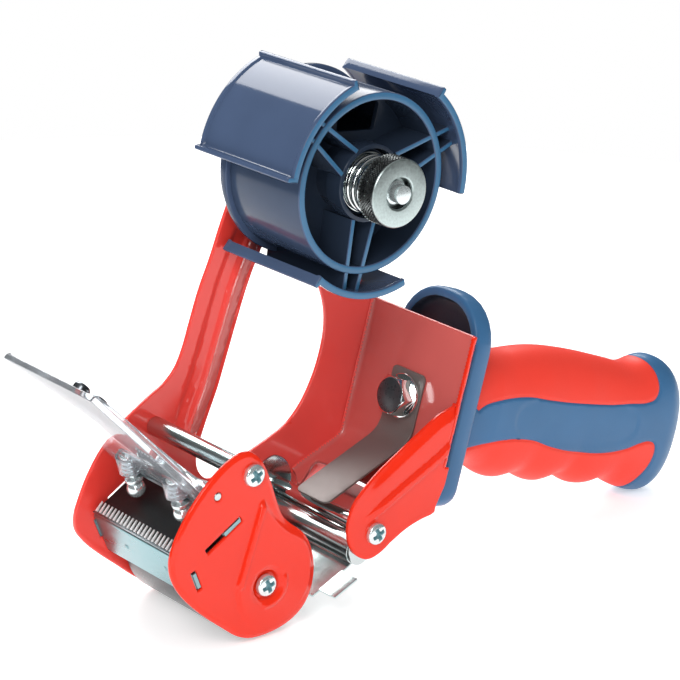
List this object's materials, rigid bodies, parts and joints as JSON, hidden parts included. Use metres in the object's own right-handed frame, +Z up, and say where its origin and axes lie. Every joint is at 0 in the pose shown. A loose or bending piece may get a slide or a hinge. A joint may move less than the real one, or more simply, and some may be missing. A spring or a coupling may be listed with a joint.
{
  "type": "packing tape dispenser",
  "caption": "Hand-held packing tape gun: red steel frame, blue tape hub with a brake knob, rubber front roller, serrated blade, clear sprung flap, and two-tone pistol grip with a cup guard.",
  "frame": {"origin": "under the middle of the part's box, on the surface it rests on", "axes": "+X from the cutting head to the grip, +Y along the hub axle to the side with the frame plate, +Z up"},
  "size_m": [0.2904, 0.0724, 0.1865],
  "materials": {
    "red_enamel": "gloss stoved enamel",
    "zinc_steel": "zinc plated",
    "bright_steel": "bright plated",
    "black_plastic": "satin moulded",
    "roller_rubber": "smooth rubber",
    "screw_steel": "bright zinc plated",
    "zinc_sheet": "galvanised sheet",
    "blade_steel": "ground steel",
    "spring_steel": "polished spring strip",
    "spring_wire": "drawn wire",
    "knob_zinc": "zinc plated, knurled",
    "blue_plastic": "moulded, fine satin",
    "grip_blue": "moulded, satin",
    "grip_red": "soft moulded rubber",
    "clear_plastic": "clear moulded plastic",
    "dark_steel": "dark plated"
  },
  "bodies": {
    "frame": {"main_frame": "red_enamel", "near_cheek": "red_enamel", "cross_tube": "zinc_steel", "roller_axle": "zinc_steel", "tie_rod": "bright_steel", "frame_screws": "screw_steel", "guide_plate": "bright_steel", "blade_holder": "zinc_sheet", "tape_bed_plate": "black_plastic", "cutting_blade": "blade_steel", "leaf_spring": "spring_steel", "grip_washer": "bright_steel", "grip_bolt": "bright_steel", "grip_nut": "zinc_steel", "spindle": "zinc_steel", "spindle_nut": "zinc_steel", "spindle_washer": "zinc_steel", "brake_cup": "zinc_steel", "brake_spring": "spring_wire", "handle_core": "grip_blue", "grip_insert_top": "grip_red", "grip_insert_bottom": "grip_red", "flap_hinge_rod": "zinc_steel", "flap_spring": "spring_wire"},
    "hub": {"tape_hub": "blue_plastic"},
    "roller": {"roller_core": "black_plastic", "roller_sleeve": "roller_rubber"},
    "knob": {"brake_knob": "knob_zinc"},
    "flap": {"flap_plate": "clear_plastic", "flap_bracket": "zinc_sheet", "press_studs": "screw_steel", "press_stud_springs": "spring_wire", "flap_studs": "dark_steel"}
  },
  "joints": [
    {"name": "hub_spin", "type": "hinge", "parent": "frame", "child": "hub", "pos_m": [-0.03207, -0.00035, 0.14825], "axis": [0, 1, 0], "continuous": true},
    {"name": "roller_spin", "type": "hinge", "parent": "frame", "child": "roller", "pos_m": [-0.07707, -0.00035, 0.01945], "axis": [0, 1, 0], "continuous": true},
    {"name": "knob_turn", "type": "hinge", "parent": "frame", "child": "knob", "pos_m": [-0.03207, -0.03035, 0.14825], "axis": [0, 1, 0], "continuous": true},
    {"name": "flap_hinge", "type": "hinge", "parent": "frame", "child": "flap", "pos_m": [-0.09807, -0.00035, 0.05545], "axis": [0, 1, 0], "range_deg": [-8, 35], "stiffness_Nm_per_rad": 0.25, "springref_deg": 1.03}
  ]
}
